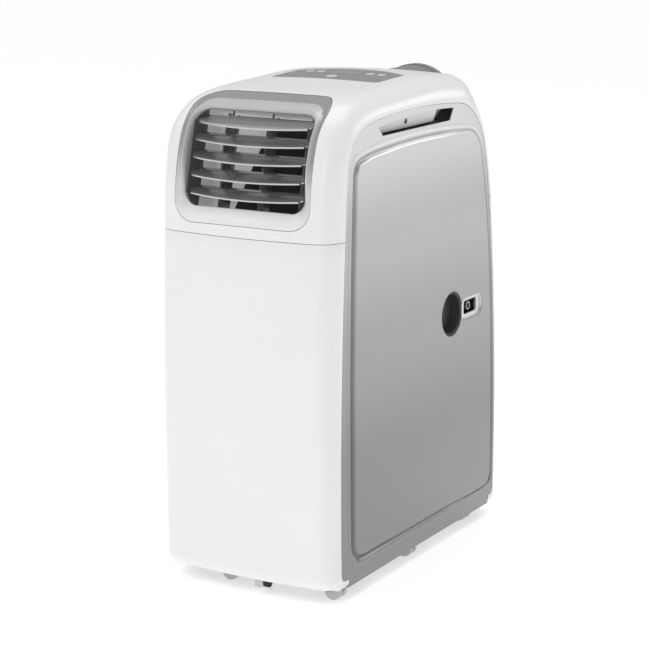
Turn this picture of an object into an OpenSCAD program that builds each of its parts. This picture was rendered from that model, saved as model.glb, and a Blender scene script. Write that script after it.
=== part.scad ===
// Portable air conditioner on castors. Front faces -Y, +X is its right side seen from the back, +Z is up.

/* [Body] */
// Width over the side panels
body_w = 303; // [302:0.5:304]
// Height of the lower edge of the covers above the floor
body_low = 21; // [20:0.5:22]
// Wall thickness of the moulded covers
wall = 3; // [2.8:0.1:3.2]
// Height of the joint between the lower covers and the top cover
seam_z = 548; // [544:1:550]
// Gap between neighbouring covers
gap = 0.4; // [0.3:0.1:0.6]

/* [Outlet] */
// Backward lean of the outlet plane, degrees
outlet_lean = 14; // [13:0.5:15]
// Half the length of a louvre blade
louvre_half = 100; // [98:0.5:100]
// Distance between louvre pivots
louvre_pitch = 26.2; // [26:0.1:26.4]
// Front edge of each louvre, degrees below level
louvre_droop = 14; // [12:1:14]
// Distance between vertical vanes
vane_pitch = 69; // [66:1:70]
// Radius of the louvre and vane pivot pins
pin_r = 1.6; // [1.4:0.1:1.6]

/* [Exhaust] */
// Outer radius of the exhaust hose collar
collar_r = 75; // [73:0.5:75]
// Height of the collar's axis
collar_z = 680; // [678:0.5:680]

/* [Castors] */
// Radius of a castor wheel
wheel_r = 14; // [13:0.5:14]
// Distance from swivel axis to wheel axle
castor_trail = 11; // [9:0.5:11]

/* [Hidden] */

hw = body_w / 2;

// ---- Side outline: tangent arcs from the front foot over the top to the rear, [radius, turn] ----
front_lean = -3.4;
SIDE_ARCS = [[5500, 5.94], [330, 16.1], [97, 56.3], [300, 8.3], [1480, 12.26], [45, 45.6], [360, 29.7],
    [2350, 9.2]];
chord_max = 90;
turn_max = 8;
function arc_at(p, r, turn) =
    [p[0] + r * (cos(p[2]) - cos(p[2] + turn)), p[1] + r * (sin(p[2] + turn) - sin(p[2])), p[2] + turn];
function arc_run(p, arcs, i = 0) =
    i >= len(arcs) ? [p] :
    let (r = arcs[i][0], turn = arcs[i][1],
         n = max(2, ceil(turn / turn_max), ceil(r * turn * PI / 180 / chord_max)))
    concat([for (k = [0 : n - 1]) arc_at(p, r, turn * k / n)],
           arc_run(arc_at(p, r, turn), arcs, i + 1));
RAW_RUN = arc_run([0, body_low, front_lean], SIDE_ARCS);
raw_front = -SIDE_ARCS[0][0] * (1 - cos(front_lean));
raw_rear = RAW_RUN[len(RAW_RUN) - 1][0];
// Shifted so that the body is centred on Y = 0
SIDE_RUN = [for (p = RAW_RUN) [p[0] - (raw_front + raw_rear) / 2, p[1], p[2]]];
front_y = (raw_front - raw_rear) / 2;
rear_y = -front_y;
top_z = max([for (p = SIDE_RUN) p[1]]);

// A run of arcs, inset by d and closed along a level line at height low
function foot_of(p, d, low) = [p[0] + d * cos(p[2]), low];
function outline(run, d, low) = concat(
    [foot_of(run[0], d, low)],
    [for (p = run) if (p[1] - d * sin(p[2]) > low) [p[0] + d * cos(p[2]), p[1] - d * sin(p[2])]],
    [foot_of(run[len(run) - 1], d, low)]);

// ---- Plan and front view: bowed edges with round corners ----
front_bow = 12;
front_corner = 27;
rear_bow = 2;
rear_corner = 17;
top_bow = 1.5;
top_corner = 42;
function edge_xs(half, r) = concat(
    [for (a = [90 : -15 : 0]) -(half - r) - r * sin(a)], [-40, 0, 40],
    [for (a = [0 : 15 : 90]) half - r + r * sin(a)]);
function edge_drop(x, half, bow, r) =
    let (over = max(0, abs(x) - (half - r))) bow * pow(x / half, 2) + r - sqrt(max(0, r * r - over * over));
function plan_points(t) = concat(
    [for (x = edge_xs(hw - t, front_corner - t))
        [x, front_y + t + edge_drop(x, hw - t, front_bow, front_corner - t)]],
    [for (x = edge_xs(hw - t, rear_corner - t))
        [-x, rear_y - t - edge_drop(x, hw - t, rear_bow, rear_corner - t)]]);
function front_points(t) = concat([[hw - t, -20], [-(hw - t), -20]],
    [for (x = edge_xs(hw - t, top_corner - t))
        [x, top_z - t - edge_drop(x, hw - t, top_bow, top_corner - t)]]);

module along_x(w) rotate([90, 0, 90]) linear_extrude(w, center = true) children();
module along_y(d) rotate([90, 0, 0]) linear_extrude(d, center = true) children();

// The body's whole outer shape, inset by t all over
module body_solid(t = 0, low = body_low) intersection() {
    along_x(body_w - 2 * t) polygon(outline(SIDE_RUN, t, low));
    translate([0, 0, -10]) linear_extrude(top_z + 20) polygon(plan_points(t));
    along_y(2 * rear_y + 20) polygon(front_points(t));
}

// Edge of the side panels, and the middle line of the channel pressed into them
PANEL_RUN = arc_run([-247, 47, -1.6], [[5550, 6.2], [100, 6.4], [60.6, 59], [181, 15.1], [1500, 10.4],
    [107.3, 66.5], [628, 10.1], [3050, 8.9]]);
CHANNEL_RUN = arc_run([-213.4, 84, -2], [[7050, 4.5], [60, 3], [25, 70.8], [273, 9], [1843, 9.8],
    [53.4, 69.3], [1237, 10.6], [3600, 5.1]]);
channel_half = 5;
channel_deep = 1.2;
channel_z = 57;
lip = 5;
panel_t = 4.6;
lip_t = 2.8;
panel_back = hw - panel_t - lip_t + 0.2;
module panel_shape(inset, low) polygon(outline(PANEL_RUN, inset, low));
module both_sides() for (s = [-1, 1]) translate([s * hw, 0, 0]) children();
module shell() difference() {
    body_solid(0);
    body_solid(wall, -5);
    both_sides() along_x(4 * wall) panel_shape(0, -5);
}
module cover(y0, y1, z0, z1) intersection() {
    shell();
    translate([-hw - 1, y0, z0]) cube([body_w + 2, y1 - y0, z1 - z0]);
}
inner_half = 144;
// The pan stands back from the front cover, which curves in more towards its corners
pan_setback = 9;
module pan_slab(z, h) intersection() {
    inner_slab(z, h);
    translate([0, pan_setback, z]) linear_extrude(h) polygon(plan_points(wall + 0.3));
}
// Outlet of the bottom drain, under the front edge
drain_at = [8, -246, 14];
drain_r = 8;
drain_bore = 5;
module inner_slab(z, h) intersection() {
    body_solid(wall + 0.3, -5);
    translate([-inner_half, front_y, z]) cube([2 * inner_half, 2 * rear_y, h]);
}

// ---- Outlet: a frame that leans back, its local -Y pointing out ----
outlet_at = [0, -256.6, 660];
module in_outlet() translate(outlet_at) rotate([-outlet_lean, 0, 0]) children();
function outlet_point(y, v) = outlet_at
    + y * [0, cos(outlet_lean), -sin(outlet_lean)] + v * [0, sin(outlet_lean), cos(outlet_lean)];
open_half = 102.5;
open_low = -74;
open_high = 70;
open_r = 20;
ring_half = 115;
ring_low = -99;
ring_high = 104;
ring_r = 34;
frame_half = 106;
frame_low = -80;
frame_high = 76;
frame_back = 78;
duct_back = 118;
thin = 2.5;
module rounded(x0, x1, y0, y1, r) polygon(concat(
    [for (a = [180 : 15 : 270]) [x0 + r + r * cos(a), y0 + r + r * sin(a)]],
    [for (a = [270 : 15 : 360]) [x1 - r + r * cos(a), y0 + r + r * sin(a)]],
    [for (a = [0 : 15 : 90]) [x1 - r + r * cos(a), y1 - r + r * sin(a)]],
    [for (a = [90 : 15 : 180]) [x0 + r + r * cos(a), y1 - r + r * sin(a)]]));
// A prism through the outlet, from local depth y0 to y1, drawn in local X and height
module outlet_prism(y0, y1) in_outlet() translate([0, y1, 0]) rotate([90, 0, 0])
    linear_extrude(y1 - y0) children();
module outlet_hole() rounded(-open_half, open_half, open_low, open_high, open_r);
module outlet_ring(grow = 0) rounded(-ring_half - grow, ring_half + grow, ring_low - grow, ring_high + grow,
    ring_r);
// Depths of the cut through the cover, deep enough where the ring wraps over the rounded top
ring_front = -60;
ring_back = 75;

// ---- Rear intakes: cassettes [height of centre, half height, backward lean] ----
UPPER_INTAKE = [441, 80, 5.6];
LOWER_INTAKE = [192, 90, 0];
intake_half = 105;
cassette_t = 10;
function rear_at(z) = let (r = SIDE_ARCS[7][0], drop = z - (SIDE_RUN[len(SIDE_RUN) - 1][1]))
    drop <= 0 ? rear_y : rear_y - r + sqrt(r * r - drop * drop);
module in_intake(k) translate([0, rear_at(k[0]), k[0]]) rotate([k[2], 0, 0]) children();
module local_box(x, y0, y1, z) translate([-x, y0, -z]) cube([2 * x, y1 - y0, 2 * z]);

// ---- Side ports ----
port_y = 110;
port_z = 376.5;
port_r = 36;
pocket_y = [146, 220];
pocket_z = [357, 394];
window_y = [158, 203];
window_z = [366, 388];
spigot_y = 180.5;
spigot_z = 377;
HANDLE = [[-142, 702], [-72, 708], [0, 710], [60, 708.5], [108, 705], [94, 688], [-130, 688]];
handle_depth = 31;

gland_at = [-98, 84];

// ---- Floors and inner levels ----
floor_z = 52;
floor_t = 3;
deck_z = 321;
deck_t = 5;

// ---- Castors: swivel axes and the heading of the trailing wheel at rest ----
CASTOR_FR = [116, -222];
CASTOR_FL = [-65, -224];
CASTOR_M = [116, 5];
CASTOR_RR = [110, 215];
CASTOR_RL = [-110, 215];
CASTORS = [CASTOR_FR, CASTOR_FL, CASTOR_M, CASTOR_RR, CASTOR_RL];
stem_r = 4;
run_fit = 0.05;
axle_r = 2;
web_t = 4;
wheel_w = 8;

// ---- Control panel ----
fascia_x = 87;
fascia_y = [-42, 47];
fascia_bow = 36;
fascia_r = 10;
module fascia_shape(grow = 0) polygon(concat(
    [for (a = [180 : 18 : 270])
        [fascia_r * (1 + cos(a)) - fascia_x - grow, fascia_r * (1 + sin(a)) + fascia_y[0] - grow]],
    [for (a = [270 : 18 : 360])
        [fascia_x + grow - fascia_r * (1 - cos(a)), fascia_r * (1 + sin(a)) + fascia_y[0] - grow]],
    [for (k = [10 : -1 : -10]) let (x = (fascia_x + grow) * k / 10)
        [x, fascia_y[1] + grow + fascia_bow * (1 - pow(k / 10, 2))]]));
module skin(t0, t1) difference() {
    body_solid(t0);
    body_solid(t1, -5);
}
button_r = 7;
power_r = 9;
BUTTON_XY = [[0, -14], [-64, 30], [-44, 30], [44, 30], [64, 30]];
lens_x = 28;
lens_y = [18, 44];
board_z = 743;

// ---- Blowers ----
upper_c = [0, 436];
lower_c = [-30, 191];
scroll_r = 100;
wheel_fan_r = 78;
shaft_r = 4;
inlet_r = 62;
motor_hole_r = 20;
upper_y = [20, 95];
lower_y = [125, 195];
riser_x = [-134, -66];
plenum_z = [604, 742];
screw_r = 3;
screw_x = 122;
screw_z = [62, deck_z + deck_t / 2];
module screw_set(grow) for (x = [-screw_x, screw_x], z = screw_z) translate([x, rear_y - 2.8, z])
    rotate([-90, 0, 0]) {
        cylinder(h = 2 + 10 * grow, r = screw_r + grow, $fn = 32);
        translate([0, 0, -10 - grow]) cylinder(h = 11, r = screw_r / 2 + grow, $fn = 32);
    }

module base_pan() color("gainsboro") difference() {
    union() {
        pan_slab(floor_z - floor_t, floor_t);
        difference() {
            pan_slab(floor_z - 0.5, 20);
            translate([-inner_half + 3, front_y + pan_setback + 12, floor_z])
                cube([2 * inner_half - 6, 2 * rear_y - pan_setback - 24, 30]);
        }
        for (c = CASTORS) translate([c[0], c[1], floor_z - 8]) cylinder(h = 24, r = 9, $fn = 48);
        translate(drain_at - [0, 0, drain_r])
            cylinder(h = floor_z - drain_at[2] + drain_r, r = drain_r, $fn = 48);
        translate(drain_at) rotate([0, 90, 0]) cylinder(h = 10, r = drain_r, $fn = 48);
    }
    for (c = CASTORS) translate([c[0], c[1], 30]) cylinder(h = 34, r = stem_r + run_fit, $fn = 48);
    translate(drain_at) cylinder(h = 60, r = drain_bore, $fn = 48);
    translate(drain_at) rotate([0, 90, 0]) cylinder(h = 12, r = drain_bore, $fn = 48);
    screw_set(0.1);
}

module front_panel() color("whitesmoke") cover(front_y - 1, 0, 0, seam_z - gap / 2);

module top_cover() color("whitesmoke") difference() {
    cover(front_y - 1, rear_y + 1, seam_z + gap / 2, top_z + 1);
    outlet_prism(ring_front, ring_back) outlet_ring(gap);
    translate([0, 0, top_z - 60]) linear_extrude(80) fascia_shape(gap);
    translate([0, 177, collar_z]) rotate([-90, 0, 0]) cylinder(h = 130, r = collar_r + 1, $fn = 120);
}

module rear_panel() color("whitesmoke") difference() {
    union() {
        cover(0, rear_y + 1, 0, seam_z - gap / 2);
        intersection() {
            body_solid(1, -5);
            for (k = [UPPER_INTAKE, LOWER_INTAKE]) in_intake(k)
                local_box(intake_half + 5, -cassette_t - 6, 0, k[1] + 5);
        }
    }
    for (k = [UPPER_INTAKE, LOWER_INTAKE]) in_intake(k) {
        local_box(intake_half + gap, -cassette_t - 1.5, 30, k[1] + gap);
        local_box(intake_half - 8, -40, 30, k[1] - 8);
    }
    translate([gland_at[0], rear_y - 20, gland_at[1]]) rotate([-90, 0, 0]) cylinder(h = 40, r = 7, $fn = 48);
    screw_set(0.1);
}

module handle_slot(x0, x1) translate([(x0 + x1) / 2, 0, 0]) along_x(x1 - x0) polygon(HANDLE);
module panel_plate() difference() {
    union() {
        translate([hw - panel_t / 2, 0, 0]) along_x(panel_t) panel_shape(gap, body_low);
        translate([panel_back + lip_t / 2, 0, 0]) along_x(lip_t) panel_shape(gap - lip, body_low + 3);
    }
    // Channel that follows the panel's edge
    translate([hw, 0, 0]) along_x(2 * channel_deep) difference() {
        polygon(outline(CHANNEL_RUN, -channel_half, channel_z - channel_half));
        polygon(outline(CHANNEL_RUN, channel_half, channel_z + channel_half));
    }
    handle_slot(hw - 20, hw + 20);
}
module side_panel_right() color("silver") difference() {
    panel_plate();
    translate([hw - 10, port_y, port_z]) rotate([0, 90, 0]) cylinder(h = 20, r = port_r, $fn = 96);
    translate([hw - 10, window_y[0], window_z[0]])
        cube([20, window_y[1] - window_y[0], window_z[1] - window_z[0]]);
    translate([hw - 3, 0, 0]) rotate([90, 0, 90]) linear_extrude(5)
        rounded(pocket_y[0], pocket_y[1], pocket_z[0], pocket_z[1], 12);
}
module side_panel_left() color("silver") mirror([1, 0, 0]) panel_plate();

module handle_pocket() difference() {
    translate([panel_back - handle_depth, -146, 684]) cube([handle_depth, 258, 30]);
    handle_slot(panel_back - handle_depth + thin, hw);
    // Slanted roof so that the pocket clears the domed top cover
    translate([panel_back, -200, 716]) rotate([0, 50, 0]) cube([40, 400, 20]);
}
module handle_right() color("dimgray") handle_pocket();
module handle_left() color("dimgray") mirror([1, 0, 0]) handle_pocket();

module outlet_bezel() color("lightgray") difference() {
    intersection() {
        skin(0.2, 6);
        outlet_prism(ring_front, ring_back) outlet_ring();
    }
    outlet_prism(ring_front - 10, ring_back + 10) outlet_hole();
}

pivot_depth = 14.6;
pivot_bulge = 4.9;
pivot_lift = 5.3;
function louvre_at(i) =
    outlet_point(pivot_depth + pivot_bulge * pow(i / 2, 2), pivot_lift + louvre_pitch * i);
vane_depth = 56;
function vane_at(i) = outlet_point(vane_depth, 0) + [vane_pitch * i, 0, 0];

module louvre_frame() color("dimgray") difference() {
    intersection() {
        body_solid(6.2, -5);
        outlet_prism(4, frame_back) translate([-frame_half, frame_low])
            square([2 * frame_half, frame_high - frame_low]);
    }
    outlet_prism(-20, frame_back + 5) translate([-frame_half + 4, frame_low + thin])
        square([2 * frame_half - 8, frame_high - frame_low - 2 * thin]);
    for (i = [-2 : 2]) translate(louvre_at(i)) rotate([0, 90, 0])
        cylinder(h = 250, r = pin_r + run_fit, center = true, $fn = 32);
    for (i = [-1 : 1]) translate(vane_at(i)) rotate([-outlet_lean, 0, 0])
        cylinder(h = 200, r = pin_r + run_fit, center = true, $fn = 32);
}

mouth_x = [12, 98];
mouth_v = [-66, 62];
module outlet_duct() color("lightgray") difference() {
    outlet_prism(frame_back, duct_back) translate([-frame_half, frame_low])
        square([2 * frame_half, frame_high - frame_low]);
    outlet_prism(frame_back - 5, duct_back - 2) translate([-frame_half + 2, frame_low + 2])
        square([2 * frame_half - 4, frame_high - frame_low - 4]);
    outlet_prism(duct_back - 5, duct_back + 5) translate([mouth_x[0], mouth_v[0]])
        square([mouth_x[1] - mouth_x[0], mouth_v[1] - mouth_v[0]]);
}

// One louvre about its own pivot at the origin: bowed front edge, round front corners, ear for the link
blade_t = 2.4;
blade_front = [-32, -19];
blade_rear = 8;
ear_x = -60;
ear_y = 16;
peg_r = 1.2;
link_r = 2.5;
module louvre_blade() {
    translate([0, 0, -blade_t / 2]) linear_extrude(blade_t) polygon(concat(
        [[louvre_half, blade_rear], [-louvre_half, blade_rear]],
        [for (a = [180 : 18 : 252]) [-louvre_half + 10 + 10 * cos(a), blade_front[1] + 12 + 10 * sin(a)]],
        [for (k = [-9 : 9]) let (x = (louvre_half - 8) * k / 9)
            [x, blade_front[0] + (blade_front[1] - blade_front[0]) * pow(x / louvre_half, 2)]],
        [for (a = [288 : 18 : 360]) [louvre_half - 10 + 10 * cos(a), blade_front[1] + 12 + 10 * sin(a)]]));
    rotate([0, 90, 0]) cylinder(h = 2 * frame_half - 0.6, r = pin_r, center = true, $fn = 32);
    translate([ear_x, blade_rear - 2, -blade_t / 2]) cube([2, ear_y - blade_rear + 4, blade_t]);
    translate([ear_x - 4, ear_y, 0]) rotate([0, 90, 0]) cylinder(h = 5, r = peg_r, $fn = 32);
}
module louvre(i) color("lightsteelblue") translate(louvre_at(i)) rotate([louvre_droop, 0, 0]) louvre_blade();
module louvre_1() louvre(2);
module louvre_2() louvre(1);
module louvre_3() louvre(0);
module louvre_4() louvre(-1);
module louvre_5() louvre(-2);
function peg_at(i) = louvre_at(i) + ear_y * [0, cos(louvre_droop), sin(louvre_droop)];
module link_hole(p) translate([ear_x - 5, p[1], p[2]]) rotate([0, 90, 0])
    cylinder(h = 10, r = peg_r + 0.15, $fn = 32);
module louvre_link() color("gray") difference() {
    for (i = [-2 : 1]) hull() for (j = [i, i + 1])
        translate([ear_x - 2.9, peg_at(j)[1], peg_at(j)[2]]) rotate([0, 90, 0])
            cylinder(h = 2.5, r = link_r, $fn = 32);
    for (i = [-2 : 2]) link_hole(peg_at(i));
}

vane_low = -74;
vane_high = 65;
vane_front = -13;
vane_rear = 18;
vane_peg = 15;
module vane(i) color("gray") translate(vane_at(i)) rotate([-outlet_lean, 0, 0]) {
    translate([-1, vane_front, vane_low]) cube([2, vane_rear - vane_front, vane_high - vane_low]);
    translate([0, 0, frame_low + 0.3]) cylinder(h = frame_high - frame_low - 0.6, r = pin_r, $fn = 32);
    translate([0, vane_peg, vane_high - 1]) cylinder(h = 5.5, r = peg_r, $fn = 32);
}
module vane_1() vane(-1);
module vane_2() vane(0);
module vane_3() vane(1);
module vane_link() color("gray") translate(vane_at(0)) rotate([-outlet_lean, 0, 0]) difference() {
    translate([-vane_pitch - 4, vane_peg - 3, vane_high + 0.5]) cube([2 * vane_pitch + 8, 6, 2.5]);
    for (i = [-1 : 1]) translate([vane_pitch * i, vane_peg, vane_high])
        cylinder(h = 5, r = peg_r + 0.15, $fn = 32);
}

module swing_motor() color("slategray") translate(louvre_at(0) + [frame_half + 0.3, 0, 0])
    rotate([0, 90, 0]) difference() {
        union() {
            cylinder(h = 16, r = 12, $fn = 64);
            translate([-16, -5, 0]) cube([32, 10, 2]);
        }
        translate([0, 0, -1]) cylinder(h = 5, r = pin_r + 0.3, $fn = 32);
    }

module button_shape(xy, r) translate([xy[0], xy[1], board_z + 7]) {
    cylinder(h = top_z - board_z - 7.5, r = r, $fn = 64);
    cylinder(h = 1.5, r = r + 1.5, $fn = 64);
}
module control_fascia() color("darkgray") {
    difference() {
        intersection() {
            skin(0.6, 3.6);
            translate([0, 0, top_z - 60]) linear_extrude(80) fascia_shape();
        }
        for (k = [0 : 4]) translate([BUTTON_XY[k][0], BUTTON_XY[k][1], 0])
            cylinder(h = 900, r = (k == 0 ? power_r : button_r) + 0.3, $fn = 64);
        translate([-lens_x - 0.2, lens_y[0] - 0.2, 0])
            cube([2 * lens_x + 0.4, lens_y[1] - lens_y[0] + 0.4, 900]);
    }
    for (x = [-76, 76], y = [-30, 40]) translate([x, y, board_z]) cylinder(h = 16, r = 3, $fn = 32);
}
module display_lens() color("black", 0.7) intersection() {
    skin(0.7, 3.2);
    translate([-lens_x, lens_y[0], 0]) cube([2 * lens_x, lens_y[1] - lens_y[0], 900]);
}
module button_power() color("white") button_shape(BUTTON_XY[0], power_r);
module button_mode() color("white") button_shape(BUTTON_XY[1], button_r);
module button_timer() color("white") button_shape(BUTTON_XY[2], button_r);
module button_down() color("white") button_shape(BUTTON_XY[3], button_r);
module button_up() color("white") button_shape(BUTTON_XY[4], button_r);
module control_board() color("seagreen") translate([-82, -36, board_z - 2]) cube([164, 84, 2]);

module tube(y0, y1, r, t) translate([0, y0, collar_z]) rotate([-90, 0, 0]) difference() {
    cylinder(h = y1 - y0, r = r, $fn = 120);
    translate([0, 0, -1]) cylinder(h = y1 - y0 + 2, r = r - t, $fn = 120);
}
collar_end = 275.5;
neck_r = 56;
collar_rim = 14;
module exhaust_collar() color("gray") union() {
    tube(collar_end - collar_rim, collar_end, collar_r, 4);
    tube(179, collar_end - collar_rim + 1, collar_r - 2, 3);
    tube(179, 182, collar_r - 2, collar_r - neck_r + 1);
    tube(160, 180, neck_r, 3);
}

bar_pitch = 10;
module cassette(k) color("whitesmoke") in_intake(k) {
    difference() {
        local_box(intake_half, -cassette_t - 1, -1, k[1]);
        local_box(intake_half - 7, -30, 30, k[1] - 7);
    }
    for (z = [-k[1] + 12 : bar_pitch : k[1] - 12]) translate([-intake_half + 5, -5, z])
        cube([2 * intake_half - 10, 3, 3]);
    for (x = [-35, 35]) translate([x - 1.5, -8, -k[1] + 5]) cube([3, 3.2, 2 * k[1] - 10]);
}
module filter_upper() cassette(UPPER_INTAKE);
module filter_lower() cassette(LOWER_INTAKE);

module port_surround() color("dimgray") translate([hw - 22, port_y, port_z]) rotate([0, 90, 0]) difference() {
    cylinder(h = 19, r = port_r - 0.4, $fn = 96);
    translate([0, 0, 3]) cylinder(h = 30, r = port_r - 3.5, $fn = 96);
}
// Elbow that stands on the deck and turns out towards the side
module drain_spigot() color("gray") translate([120, spigot_y, 0]) difference() {
    union() {
        translate([0, 0, deck_z + deck_t]) cylinder(h = spigot_z - deck_z - deck_t, r = 7, $fn = 64);
        translate([0, 0, spigot_z]) sphere(r = 7, $fn = 64);
        translate([0, 0, spigot_z]) rotate([0, 90, 0]) cylinder(h = hw - 7 - 120, r = 7, $fn = 64);
    }
    translate([0, 0, deck_z]) cylinder(h = spigot_z - deck_z, r = 5, $fn = 64);
    translate([0, 0, spigot_z]) rotate([0, 90, 0]) cylinder(h = 60, r = 5, $fn = 64);
}
module drain_plug() color("black") translate(drain_at) rotate([0, 90, 0]) {
    translate([0, 0, 4]) cylinder(h = 7, r = drain_bore - run_fit, $fn = 48);
    translate([0, 0, 10.2]) cylinder(h = 8, r = drain_r, $fn = 48);
}
module cord_gland() color("black") translate([gland_at[0], rear_y - 9.5, gland_at[1]]) rotate([-90, 0, 0])
    difference() {
    union() {
        cylinder(h = 2.5, r = 10, $fn = 48);
        cylinder(h = 8, r = 6.8, $fn = 48);
    }
    translate([0, 0, -1]) cylinder(h = 20, r = 3.6, $fn = 32);
}

// A finned coil: core block, end plates, and return bends at both ends
module coil(z0, z1, y0) {
    translate([-118, y0 + 1, z0]) cube([236, 24, z1 - z0]);
    for (x = [-121, 119]) translate([x, y0, z0]) cube([2, 26, z1 - z0]);
    for (s = [-1, 1], z = [z0 + 14 : 24 : z1 - 20])
        translate([s * 121, y0 + 13, z + 6]) rotate([0, 0, s > 0 ? 0 : 180]) rotate([90, 0, 0])
            rotate([0, 0, -90]) rotate_extrude(angle = 180, $fn = 48)
                translate([6, 0]) circle(r = 3, $fn = 24);
}
coil_y = 226;
module evaporator() color("lightblue") coil(deck_z + deck_t, 532, coil_y);
module condenser() color("lightblue") coil(floor_z, deck_z, coil_y);

comp_at = [45, -105];
module compressor() color("black") translate([comp_at[0], comp_at[1], floor_z]) {
    for (a = [30, 150, 270]) rotate([0, 0, a]) translate([62, 0, 0]) cylinder(h = 12, r = 9, $fn = 32);
    translate([0, 0, 12]) cylinder(h = 4, r = 70, $fn = 96);
    translate([0, 0, 14]) cylinder(h = 190, r = 58, $fn = 96);
    translate([0, 0, 204]) cylinder(h = 14, r = 40, $fn = 96);
}

module scroll_shape(c, grow) translate([c[0], c[1]]) circle(r = scroll_r + grow, $fn = 120);
module upper_mouth(y0, y1, grow) outlet_prism(y0, y1) translate([mouth_x[0] - grow, mouth_v[0] - grow])
    square([mouth_x[1] - mouth_x[0] + 2 * grow, mouth_v[1] - mouth_v[0] + 2 * grow]);
module fan_housing_upper() color("gainsboro") difference() {
    union() {
        translate([0, (upper_y[0] + upper_y[1]) / 2, 0]) along_y(upper_y[1] - upper_y[0]) {
            scroll_shape(upper_c, 0);
            translate([mouth_x[0] - thin, upper_c[1]]) square([mouth_x[1] - mouth_x[0] + 2 * thin, 222]);
        }
        upper_mouth(duct_back, 300, thin);
        translate([-60, upper_y[0] + 5, deck_z + deck_t]) cube([120, upper_y[1] - upper_y[0] - 10, 30]);
    }
    translate([0, (upper_y[0] + upper_y[1]) / 2, 0]) along_y(upper_y[1] - upper_y[0] - 2 * thin) {
        scroll_shape(upper_c, -thin);
        translate([mouth_x[0], upper_c[1]]) square([mouth_x[1] - mouth_x[0], 222 - thin]);
    }
    upper_mouth(duct_back - 5, 296, 0);
    // Inlet at the back, motor hole at the front
    translate([upper_c[0], upper_y[1] - 10, upper_c[1]]) rotate([-90, 0, 0])
        cylinder(h = 30, r = inlet_r, $fn = 96);
    translate([upper_c[0], upper_y[0] - 10, upper_c[1]]) rotate([-90, 0, 0])
        cylinder(h = 20, r = motor_hole_r, $fn = 64);
}
module fan_housing_lower() color("gainsboro") difference() {
    union() {
        translate([0, (lower_y[0] + lower_y[1]) / 2, 0]) along_y(lower_y[1] - lower_y[0]) {
            scroll_shape(lower_c, 4);
            translate([riser_x[0], lower_c[1]])
                square([riser_x[1] - riser_x[0], plenum_z[0] - lower_c[1] + 10]);
        }
        translate([riser_x[0], lower_y[0], plenum_z[0]])
            cube([70 - riser_x[0], 45, plenum_z[1] - plenum_z[0]]);
        translate([-90, lower_y[0] + 5, floor_z]) cube([120, lower_y[1] - lower_y[0] - 10, 60]);
    }
    translate([0, (lower_y[0] + lower_y[1]) / 2, 0]) along_y(lower_y[1] - lower_y[0] - 2 * thin) {
        scroll_shape(lower_c, 4 - thin);
        translate([riser_x[0] + thin, lower_c[1]])
            square([riser_x[1] - riser_x[0] - 2 * thin, plenum_z[0] - lower_c[1] + 10 - thin]);
    }
    translate([riser_x[0] + thin, lower_y[0] + thin, plenum_z[0] + thin])
        cube([70 - riser_x[0] - 2 * thin, 40, plenum_z[1] - plenum_z[0] - 2 * thin]);
    translate([riser_x[0] + thin, lower_y[0] + thin, plenum_z[0] - 10])
        cube([riser_x[1] - riser_x[0] - 2 * thin, 40, 20]);
    translate([lower_c[0], lower_y[1] - 10, lower_c[1]]) rotate([-90, 0, 0])
        cylinder(h = 30, r = inlet_r, $fn = 96);
    translate([lower_c[0], lower_y[0] - 10, lower_c[1]]) rotate([-90, 0, 0])
        cylinder(h = 20, r = motor_hole_r, $fn = 64);
    translate([0, 160, collar_z]) rotate([-90, 0, 0]) cylinder(h = 30, r = neck_r + 0.3, $fn = 120);
}
// Blower wheel on the Y axis: back plate, hub, a ring of straight blades and a rim
blade_count = 20;
module impeller(c, y0, d) color("dimgray") translate([c[0], y0, c[1]]) rotate([-90, 0, 0]) difference() {
    union() {
        cylinder(h = 3, r = wheel_fan_r, $fn = 96);
        cylinder(h = 20, r = 12, $fn = 64);
        translate([0, 0, d - 4]) difference() {
            cylinder(h = 4, r = wheel_fan_r, $fn = 96);
            translate([0, 0, -1]) cylinder(h = 6, r = wheel_fan_r - 10, $fn = 96);
        }
        for (k = [0 : blade_count - 1]) rotate([0, 0, 360 * k / blade_count])
            translate([wheel_fan_r - 10, -1, 1]) cube([9, 2, d - 3]);
    }
    translate([0, 0, -1]) cylinder(h = 30, r = shaft_r + run_fit, $fn = 48);
}
module fan_motor(c, y1) color("slategray") translate([c[0], y1, c[1]]) rotate([90, 0, 0]) {
    translate([0, 0, 0.4]) cylinder(h = 40, r = 38, $fn = 96);
    translate([0, 0, -25]) cylinder(h = 27, r = shaft_r, $fn = 48);
}
fan_depth = 58;
module impeller_upper() impeller(upper_c, upper_y[0] + 6, fan_depth);
module impeller_lower() impeller(lower_c, lower_y[0] + 5, fan_depth);
module fan_motor_upper() fan_motor(upper_c, upper_y[0]);
module fan_motor_lower() fan_motor(lower_c, lower_y[0]);

module condensate_tray() color("gainsboro") difference() {
    union() {
        inner_slab(deck_z, deck_t);
        difference() {
            translate([-136, coil_y - 8, deck_z + 1]) cube([272, 42, 16]);
            translate([-133, coil_y - 5, deck_z + 2]) cube([266, 36, 30]);
        }
    }
    translate([riser_x[0] - 0.5, lower_y[0] - 0.5, deck_z - 5])
        cube([riser_x[1] - riser_x[0] + 1, lower_y[1] - lower_y[0] + 1, 30]);
    screw_set(0.1);
    translate([130, 205, deck_z - 5]) cylinder(h = 30, r = 6.5, $fn = 32);
    translate([-inner_half - 1, -300, deck_z - 5]) cube([2 * inner_half + 2, 60, 30]);
}

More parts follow.
